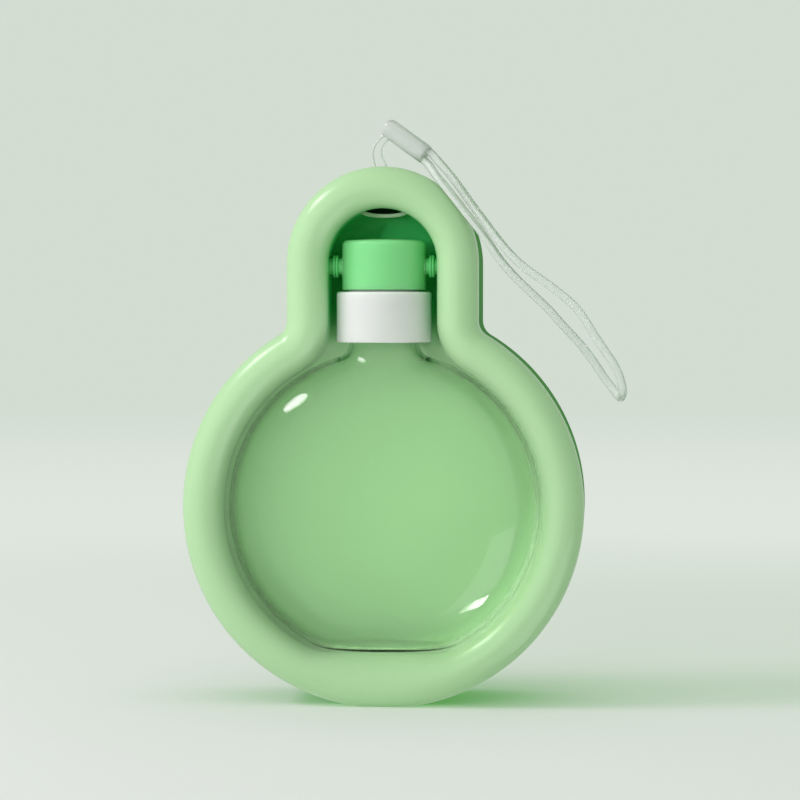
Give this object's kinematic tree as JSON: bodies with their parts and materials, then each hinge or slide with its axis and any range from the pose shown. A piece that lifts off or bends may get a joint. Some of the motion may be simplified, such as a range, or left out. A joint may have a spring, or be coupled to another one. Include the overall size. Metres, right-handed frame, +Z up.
{
  "type": "dog travel water bottle",
  "caption": "Travel water bottle for dogs: round clear flask hinged by its cap inside a keyhole-shaped drinking bowl with a rounded rim and a hand strap.",
  "frame": {"origin": "under the middle of the bottle at the height of its flat foot, without the lanyard", "axes": "+Z up towards the neck and the strap, -Y to the open front of the bowl, +X to the right in the front view"},
  "size_m": [0.1625, 0.063, 0.2146],
  "materials": {
    "bowl_green": "satin moulded",
    "cover_green": "satin moulded",
    "cap_green": "glossy moulded",
    "pin_green": "glossy moulded",
    "white_plastic": "fine satin",
    "silicone": "soft matt",
    "clear_plastic": "clear glossy",
    "clear_sleeve": "clear soft",
    "cord_thin": "fine twisted",
    "cord_strap": "translucent satin",
    "steel": "ground"
  },
  "bodies": {
    "shell": {"bowl_shell": "bowl_green", "back_cover": "cover_green", "shell_seal": "silicone", "pivot_bush_left": "white_plastic", "pivot_bush_right": "white_plastic", "lanyard_eyelet": "bowl_green", "lanyard_bar": "steel", "thin_loop": "cord_thin", "lanyard_sleeve": "clear_sleeve", "strap_loop": "cord_strap"},
    "bottle": {"cap": "cap_green", "hinge_pin_left": "pin_green", "hinge_pin_right": "pin_green", "pivot_washer_left": "pin_green", "pivot_washer_right": "pin_green", "valve_insert": "white_plastic", "insert_o_ring": "silicone", "outlet_valve": "silicone", "valve_ring": "white_plastic", "mouth_gasket": "silicone", "flask": "clear_plastic"},
    "collar": {"collar": "white_plastic"}
  },
  "joints": [
    {"name": "flask_swing", "type": "hinge", "parent": "shell", "child": "bottle", "pos_m": [0, -0.0075, 0.1607], "axis": [-1, 0, 0], "range_deg": [0, 90]},
    {"name": "collar_twist", "type": "hinge", "parent": "bottle", "child": "collar", "pos_m": [0, -0.0075, 0.142], "axis": [0, 0, 1], "range_deg": [0, 90]}
  ]
}
